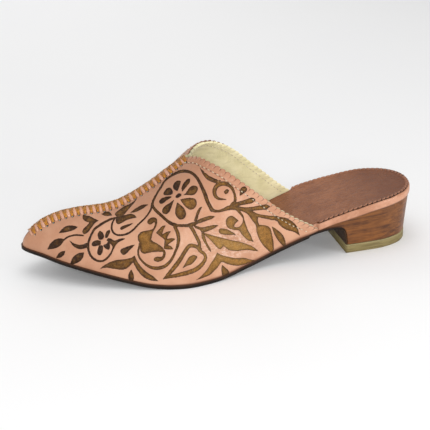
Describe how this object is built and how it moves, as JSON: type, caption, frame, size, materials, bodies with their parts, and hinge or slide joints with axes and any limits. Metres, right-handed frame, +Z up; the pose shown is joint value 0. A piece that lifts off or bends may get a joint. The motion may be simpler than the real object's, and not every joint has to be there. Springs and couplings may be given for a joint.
{
  "type": "babouche slipper",
  "caption": "Left women's babouche slipper: hollow leather vamp with a raised centre seam and open back, leather insole, edge strip, thin outsole and low wooden heel.",
  "frame": {"origin": "on the floor under the middle of the slipper's box", "axes": "+X from the heel to the toe, +Y to the wearer's left, which is the outer side, +Z up"},
  "size_m": [0.254, 0.0857, 0.0716],
  "materials": {
    "vamp_leather": "smooth pinkish tan leather with burnt brown carving",
    "insole_leather": "dusty rose grained leather",
    "edge_strip_leather": "smooth pinkish tan leather strip",
    "outsole_rubber": "thin dark sole with a matt edge",
    "heel_wood": "brown stained wood with a satin finish",
    "top_lift_rubber": "matt olive beige slab"
  },
  "bodies": {
    "root": {"upper": "vamp_leather", "insole": "insole_leather", "rand": "edge_strip_leather", "outsole": "outsole_rubber", "heel": "heel_wood", "top_lift": "top_lift_rubber"}
  },
  "joints": []
}
